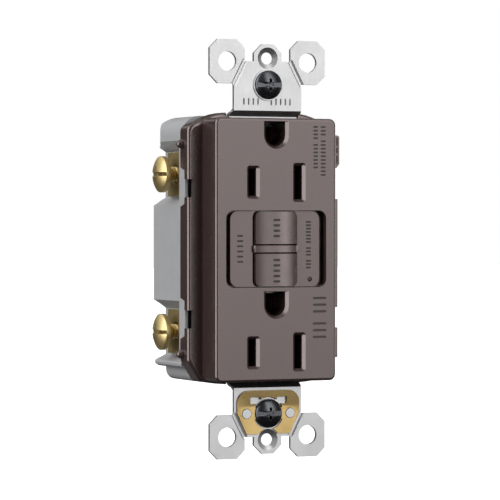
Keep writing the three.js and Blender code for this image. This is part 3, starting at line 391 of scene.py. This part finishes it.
def threaded_shank(name, radius, depth, pitch, low, high, steps_per_turn=24, steps_per_pitch=8):
    """A screw thread down to a blunt tip: the radius follows the helix, crest to root."""
    def ripple(angle, height):
        phase = (height / pitch - angle / (2 * PI)) % 1.0
        return -depth * abs(2 * phase - 1)

    rows = round((high - low) / pitch * steps_per_pitch)
    profile = [(radius, low + (high - low) * k / rows) for k in range(rows + 1)]
    bm = lathe(profile, steps_per_turn, ripple)
    bm.verts.ensure_lookup_table()
    for vert in bm.verts:
        near_tip = max(0.0, 1 - (vert.co.z - low) / (TIP_PITCHES * pitch))
        vert.co.x *= 1 - TIP_TAPER * near_tip
        vert.co.y *= 1 - TIP_TAPER * near_tip
    return mesh_object(name, bm)


def place(obj, origin, along, across):
    """Turns a piece built along +Z, with its slot along X, and puts its seat at origin."""
    along, across = Vector(along).normalized(), Vector(across).normalized()
    side = along.cross(across)
    turn = Matrix((across, side, along)).transposed().to_4x4()
    obj.data.transform(Matrix.Translation(Vector(origin)) @ turn)
    return obj


def fine_screw(node, finish, head, shank, seat, tip, along, across):
    """Replaces a CAD screw by one with a spherical head and a real thread."""
    crown = screw_head("head", **head)
    length = (tip - seat).length
    thread = threaded_shank("shank", shank["radius"], shank["depth"], MACHINE_PITCH, -length, SHANK_OVERLAP)
    screw = joined(node + "_fine", [crown, thread])
    place(screw, seat, along, across)
    round_edges(screw, SCREW_EDGE)
    screw.data.materials.append(MATERIALS[finish])
    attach(screw, node)
    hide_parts(node)


def mounting_screw(node):
    """A box screw, its head towards the front."""
    low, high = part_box(node)
    level = (low.z + high.z) / 2
    seat = Vector((0, low.y + MOUNTING_HEAD["rim"] + MOUNTING_HEAD["rise"], level))
    tip = Vector((0, high.y, level))
    fine_screw(node, "black_steel", MOUNTING_HEAD, MOUNTING_SHANK, seat, tip, (0, -1, 0), (1, 0, 0))


def terminal_screw(node, hand, finish):
    """A terminal screw, its head to the left for hand -1 and to the right for hand 1."""
    low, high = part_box(node)
    middle = (low + high) / 2
    outer, inner = (low.x, high.x) if hand < 0 else (high.x, low.x)
    seat = Vector((outer - hand * (TERMINAL_HEAD["rim"] + TERMINAL_HEAD["rise"]), middle.y, middle.z))
    tip = Vector((inner, middle.y, middle.z))
    fine_screw(node, finish, TERMINAL_HEAD, TERMINAL_SHANK, seat, tip, (hand, 0, 0), (0, 1, 0))


for side in ("top", "bottom"):
    mounting_screw(side + "_mounting_screw")
# The brass terminal screw heads get the lighter brass copy, as painted light.
for circuit in ("line", "load"):
    terminal_screw(circuit + "_hot_screw", -1, "brass_with_painted_light")
    terminal_screw(circuit + "_neutral_screw", 1, "silver_plating")


# ------------------------------------------------------------------ plain marks in place of print, and painted shade in place of stamped and embossed lettering
ARC_STEPS = 6
# Gap between groups of bars, in steps.
GROUP_GAP = 0.8


def ink_and_painted_shade(name, colour, roughness=0.5):
    return moulded_plastic(name, colour, roughness, 4000.0, 1e-6, 0.15)


def pill(bm, centre, half_long, half_wide, upright, surface, thickness):
    """A bar with round ends lying on a surface given as y = surface(x)."""
    outline = []
    for end in (1, -1):
        for k in range(ARC_STEPS + 1):
            angle = math.radians(180 / ARC_STEPS * k - 90 * end)
            along = end * max(0.0, half_long - half_wide) + half_wide * math.cos(angle)
            outline.append((along, half_wide * math.sin(angle)))
    if upright:
        outline = [(-b, a) for a, b in outline]
    points = [(centre[0] + a, centre[1] + b) for a, b in outline]
    lower = [bm.verts.new((x, surface(x) + thickness, z)) for x, z in points]
    upper = [bm.verts.new((x, surface(x) - thickness, z)) for x, z in points]
    grid_faces(bm, [lower, upper])
    bm.faces.new(lower)
    bm.faces.new(upper)


def marks(name, body, material, bars, surface, half_wide, thickness=0.02 * MM):
    """Bars, each as (x, z, half length, upright), on one surface, in one piece."""
    bm = bmesh.new()
    for x, z, half_long, upright in bars:
        pill(bm, (x, z), half_long, half_wide, upright, surface, thickness)
    piece = mesh_object(name, bm)
    piece.data.materials.append(material)
    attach(piece, body)


def column(x, start, groups, step, half_long):
    """Short level bars down a column, in groups with a wider gap between them."""
    bars = []
    z = start
    for count in groups:
        bars += [(x, z - step * k, half_long, False) for k in range(count)]
        z -= step * (count + GROUP_GAP)
    return bars


DARK_INK = ink_and_painted_shade("dark_brown_ink", (0.012, 0.007, 0.006))
# The stamped lettering on the strap is drawn as flat grey marks: painted shade in place of its grooves.
STAMPED_SHADE_INK = ink_and_painted_shade("stamped_groove_shade", (0.10, 0.10, 0.105))
# The embossed lettering low on the face is drawn as flat marks darker than the brown: painted shade in place
# of its relief.
EMBOSSED_SHADE_INK = ink_and_painted_shade("embossed_relief_shade", (0.022, 0.014, 0.012))
FACE_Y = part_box("front_cover")[0].y
PANEL_Y = FACE_Y + 0.95 * MM
BUTTON_HALF_X = 5.75 * MM
DISH_DEPTH = 0.71 * MM
DISH_RADIUS = (BUTTON_HALF_X ** 2 + DISH_DEPTH ** 2) / (2 * DISH_DEPTH)
STRAP_Y = -0.95 * MM
TAB_MARK_Z = 37.4 * MM
TAB_MARKS_X = [x * MM for x in (-6.6, -5.3, -4.0, -2.7, 1.0, 2.3, 3.6, 4.9, 6.2)]


def dish(x):
    """Depth of the hollow button face at x."""
    return FACE_Y + DISH_DEPTH - DISH_RADIUS + math.sqrt(DISH_RADIUS ** 2 - x ** 2)


marks("face_marks_upper", "receptacle", DARK_INK,
      column(10.9 * MM, 31.0 * MM, (4, 7), 0.95 * MM, 0.65 * MM)
      + column(13.0 * MM, 31.0 * MM, (3, 10), 0.95 * MM, 0.72 * MM),
      lambda x: FACE_Y, 0.23 * MM)
# Painted shade of the embossed lettering low on the face.
marks("face_marks_lower", "receptacle", EMBOSSED_SHADE_INK,
      column(12.0 * MM, -12.4 * MM, (3, 3), 1.7 * MM, 1.9 * MM), lambda x: FACE_Y, 0.3 * MM)
marks("panel_marks", "receptacle", DARK_INK,
      column(-9.6 * MM, 3.4 * MM, (6,), 1.3 * MM, 0.85 * MM)
      + column(9.3 * MM, 6.9 * MM, (7, 3, 3), 0.85 * MM, 0.72 * MM), lambda x: PANEL_Y, 0.24 * MM)
marks("test_button_marks", "test_button", DARK_INK,
      column(0.4 * MM, 7.4 * MM, (4,), 1.35 * MM, 0.95 * MM), dish, 0.3 * MM)
marks("reset_button_marks", "reset_button", DARK_INK,
      column(0.4 * MM, -2.7 * MM, (5,), 1.35 * MM, 0.95 * MM), dish, 0.3 * MM)
# Painted shade of the stamped lettering on the strap's top tab.
marks("tab_marks", "receptacle", STAMPED_SHADE_INK,
      [(x, TAB_MARK_Z, 0.85 * MM, True) for x in TAB_MARKS_X], lambda x: STRAP_Y, 0.2 * MM)


# ------------------------------------------------------------------ stage, light and camera
FLOOR_SIZE = 60.0
FLOOR_Z = -0.55
# Each panel: low and high limit and the softness of each, in degrees of azimuth and of elevation.
PANELS = [
    {"azimuth": (5.0, 45.0, 3.0, 11.0), "elevation": (-5.0, 60.0, 14.0, 12.0), "radiance": 2.45},
    {"azimuth": (6.0, 17.0, 3.0, 3.0), "elevation": (-5.0, 60.0, 14.0, 12.0), "radiance": 2.9},
    {"azimuth": (28.0, 42.0, 4.0, 6.0), "elevation": (-5.0, 60.0, 14.0, 12.0), "radiance": 0.75},
    {"azimuth": (-110.0, -52.0, 8.0, 8.0), "elevation": (-16.0, 55.0, 8.0, 12.0), "radiance": 4.6},
    {"azimuth": (-180.0, -104.0, 1.0, 10.0), "elevation": (22.0, 70.0, 10.0, 12.0), "radiance": 1.0},
    {"azimuth": (-180.0, -104.0, 1.0, 10.0), "elevation": (-65.0, -20.0, 12.0, 8.0), "radiance": 0.15},
    {"azimuth": (92.0, 132.0, 8.0, 8.0), "elevation": (-20.0, 60.0, 12.0, 12.0), "radiance": 2.0},
]
OVERHEAD = 0.6
AMBIENT = 0.05
# The height, in degrees, at which the overhead light starts and is full.
OVERHEAD_SPAN = (50.0, 70.0)
LENS_MM = 207.0
SENSOR_MM = 36.0
CAMERA_AZIMUTH = math.radians(-23.8)
CAMERA_ELEVATION = math.radians(0.6)
CAMERA_DISTANCE = 0.728
CAMERA_TARGET = Vector((-4.92, -0.95, -0.2)) * MM


def floor():
    """A pale floor well below, which neither lights the object nor shows in it."""
    bpy.ops.mesh.primitive_plane_add(size=FLOOR_SIZE, location=(0, 0, FLOOR_Z))
    plane = bpy.context.object
    plane.name = "floor"
    g = Graph("pale_floor")
    g.set(Base_Color=(0.9, 0.9, 0.9, 1), Roughness=0.9, Emission_Color=(1, 1, 1, 1), Emission_Strength=0.25)
    plane.data.materials.append(g.material)
    plane.visible_diffuse = False
    plane.visible_glossy = False


def studio_light():
    """A soft studio drawn in the world: broad panels of light at the directions given, white behind."""
    world = bpy.data.worlds.new("studio")
    bpy.context.scene.world = world
    world.use_nodes = True
    tree = world.node_tree
    tree.nodes.clear()

    def node(kind, inputs=(), **settings):
        made = tree.nodes.new(kind)
        for key, value in settings.items():
            setattr(made, key, value)
        for key, value in dict(inputs).items():
            if isinstance(value, bpy.types.NodeSocket):
                tree.links.new(value, made.inputs[key])
            else:
                made.inputs[key].default_value = value
        return made.outputs[0]

    def calc(operation, a, b=0.0):
        return node("ShaderNodeMath", {0: a, 1: b}, operation=operation)

    def edge(value, start, end):
        inputs = {"Value": value, "From Min": start, "From Max": end}
        return node("ShaderNodeMapRange", inputs, interpolation_type="SMOOTHSTEP")

    def band(value, low, high, soft_low, soft_high):
        rise = edge(value, low - soft_low, low + soft_low)
        fall = edge(value, high - soft_high, high + soft_high)
        return calc("SUBTRACT", rise, fall)

    direction = tree.nodes.new("ShaderNodeTexCoord").outputs["Generated"]
    split = tree.nodes.new("ShaderNodeSeparateXYZ")
    tree.links.new(direction, split.inputs[0])
    x, y, z = split.outputs
    # Azimuth 0 is straight in front of the face, positive to its right; both in degrees.
    azimuth = calc("MULTIPLY", calc("ARCTAN2", x, calc("MULTIPLY", y, -1.0)), 180 / PI)
    elevation = calc("MULTIPLY", calc("ARCSINE", z), 180 / PI)

    total = AMBIENT
    for panel in PANELS:
        across = band(azimuth, *panel["azimuth"])
        up = band(elevation, *panel["elevation"])
        total = calc("ADD", calc("MULTIPLY", calc("MULTIPLY", across, up), panel["radiance"]), total)
    overhead = calc("MULTIPLY", edge(elevation, *OVERHEAD_SPAN), OVERHEAD)
    total = calc("ADD", total, overhead)
    seen = tree.nodes.new("ShaderNodeLightPath").outputs["Is Camera Ray"]
    mix = node("ShaderNodeMix", {0: seen, 2: total, 3: 1.0})
    background = tree.nodes.new("ShaderNodeBackground")
    background.inputs["Color"].default_value = (1, 1, 1, 1)
    tree.links.new(mix, background.inputs["Strength"])
    out = tree.nodes.new("ShaderNodeOutputWorld")
    tree.links.new(background.outputs[0], out.inputs[0])


def camera():
    """Camera at the left of the face, a touch above it, aimed just left of the origin."""
    data = bpy.data.cameras.new("camera")
    data.lens = LENS_MM
    data.sensor_width = SENSOR_MM
    data.clip_start = 0.05
    data.clip_end = 100.0
    cam = bpy.data.objects.new("camera", data)
    bpy.context.scene.collection.objects.link(cam)
    level = math.cos(CAMERA_ELEVATION)
    back = Vector((math.sin(CAMERA_AZIMUTH) * level, -math.cos(CAMERA_AZIMUTH) * level,
                   math.sin(CAMERA_ELEVATION)))
    cam.location = CAMERA_TARGET + back * CAMERA_DISTANCE
    cam.rotation_mode = "QUATERNION"
    cam.rotation_quaternion = (-back).to_track_quat("-Z", "Y")
    bpy.context.scene.camera = cam


floor()
studio_light()
camera()
bpy.context.scene.view_settings.view_transform = "Standard"
